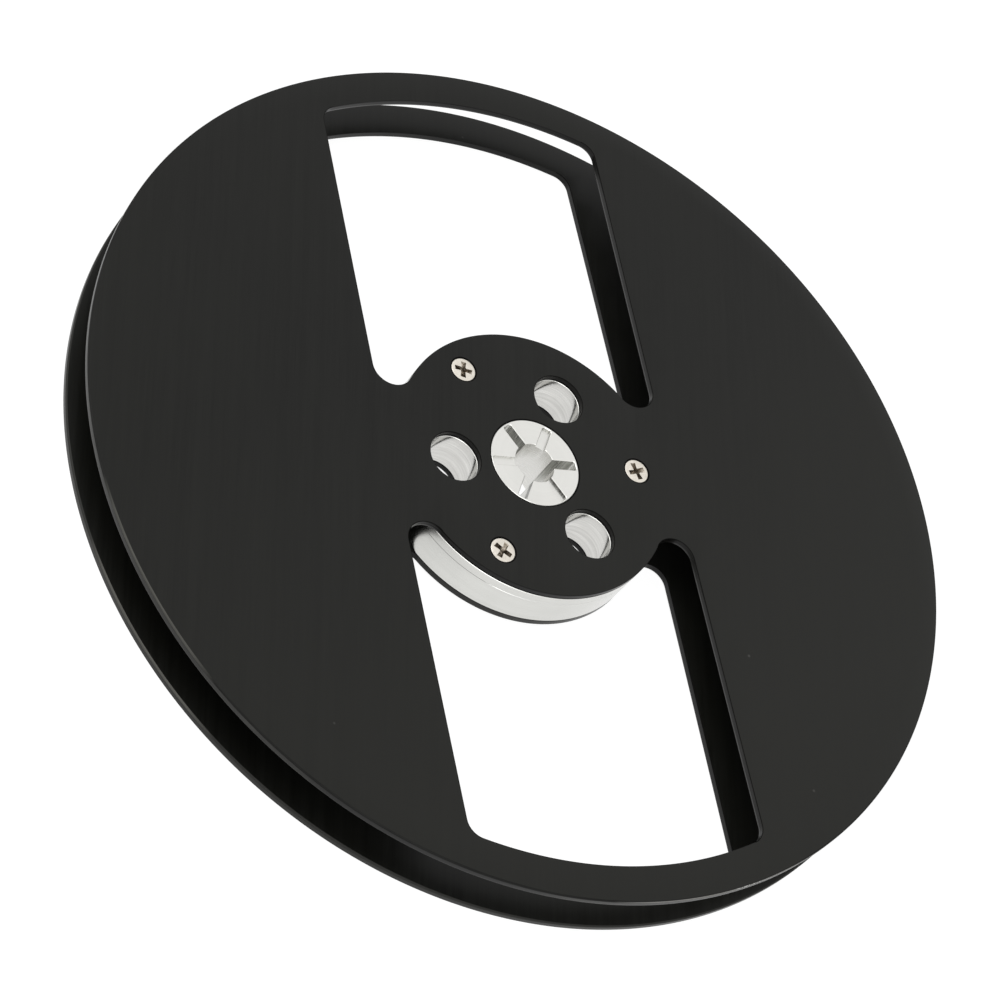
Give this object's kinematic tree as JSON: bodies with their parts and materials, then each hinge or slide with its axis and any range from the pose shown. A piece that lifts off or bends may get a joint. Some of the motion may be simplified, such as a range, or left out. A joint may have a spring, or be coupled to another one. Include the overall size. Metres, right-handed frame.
{
  "type": "audio tape reel",
  "caption": "Empty flat metal reel for quarter inch audio tape, with windowed black flanges, a bare turned hub and a spindle bore with slots for a three-wing spindle.",
  "frame": {"origin": "on the reel's axis, in the plane of the rear flange's rim, on which the reel lies", "axes": "+Z along the reel's axis towards the front flange, +Y through the middle of one window, +X through the first screw and a deep spindle slot"},
  "size_m": [0.1778, 0.1778, 0.0123],
  "materials": {
    "black_anodised": "black anodised, fine satin brushing",
    "bare_aluminium": "finely turned, bright",
    "nickel_plated": "nickel plated, satin"
  },
  "bodies": {
    "root": {"front_flange": "black_anodised", "rear_flange": "black_anodised", "hub": "bare_aluminium", "front_screw_1": "nickel_plated", "front_screw_2": "nickel_plated", "front_screw_3": "nickel_plated", "rear_screw_1": "nickel_plated", "rear_screw_2": "nickel_plated", "rear_screw_3": "nickel_plated"}
  },
  "joints": []
}
